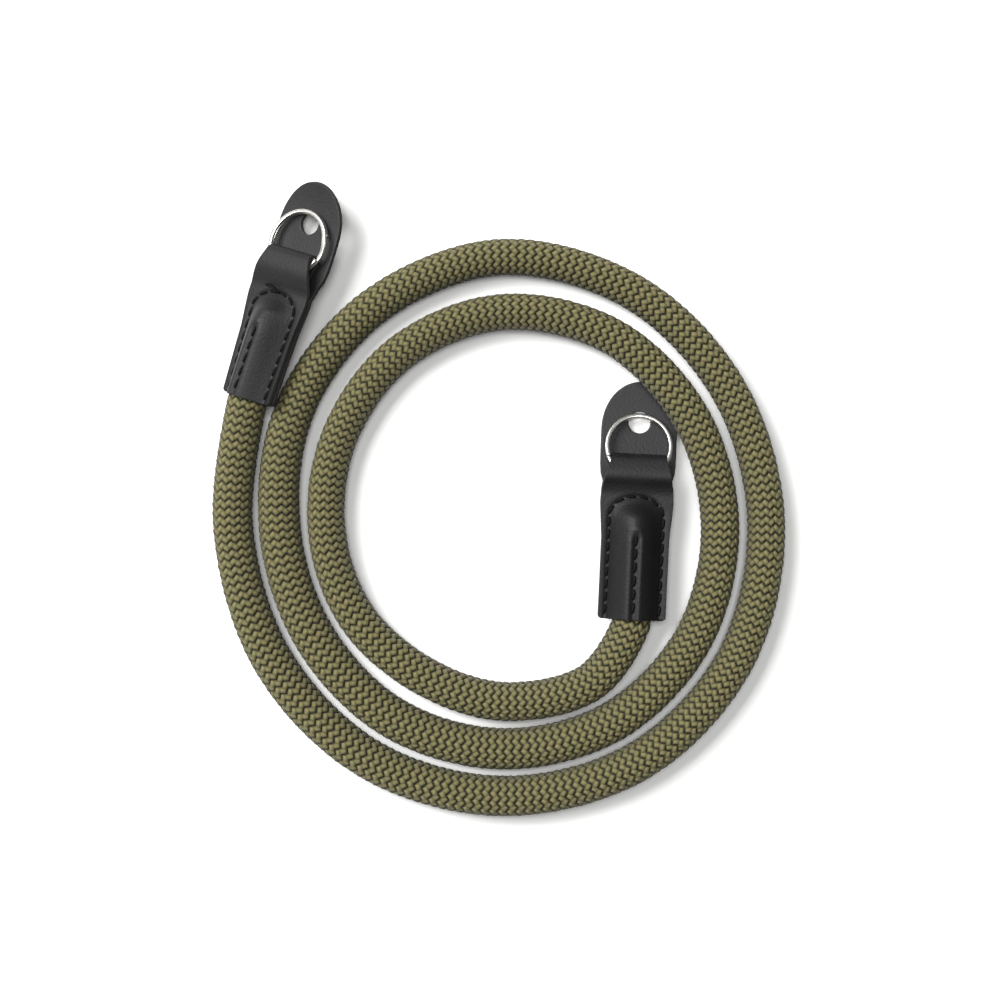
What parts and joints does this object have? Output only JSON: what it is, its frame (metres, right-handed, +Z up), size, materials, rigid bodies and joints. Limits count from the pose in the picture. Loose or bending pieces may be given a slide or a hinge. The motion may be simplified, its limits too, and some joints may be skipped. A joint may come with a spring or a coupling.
{
  "type": "camera strap",
  "caption": "Camera neck strap of thick braided rope lying in a flat coil, with a stitched leather sleeve at each end that loops round a split ring over a leather tab.",
  "frame": {"origin": "middle of the bounding box, on the surface the strap lies on", "axes": "+Z up from the surface, through the coil's thin direction; +Y from the coil's middle towards the outer end's ring side of the picture; +X to the right seen from above"},
  "size_m": [0.1506, 0.1664, 0.0156],
  "materials": {
    "rope": "olive green braided cord, matt",
    "leather": "smooth charcoal leather, satin, cut edges",
    "steel": "nickel-plated spring steel, polished"
  },
  "bodies": {
    "strap": {"rope": "rope", "left_sleeve_front": "leather", "left_back_and_tab": "leather", "right_sleeve_front": "leather", "right_back_and_tab": "leather"},
    "left_ring": {"left_split_ring": "steel"},
    "right_ring": {"right_split_ring": "steel"}
  },
  "joints": [
    {"name": "left_ring_turn", "type": "hinge", "parent": "strap", "child": "left_ring", "pos_m": [-0.0527, 0.06718, 0.00863], "axis": [-0.4675, 0.2204, 0.8561], "continuous": true},
    {"name": "right_ring_turn", "type": "hinge", "parent": "strap", "child": "right_ring", "pos_m": [0.03674, 0.01387, 0.0052], "axis": [0.013, 0.2753, 0.9613], "continuous": true}
  ]
}
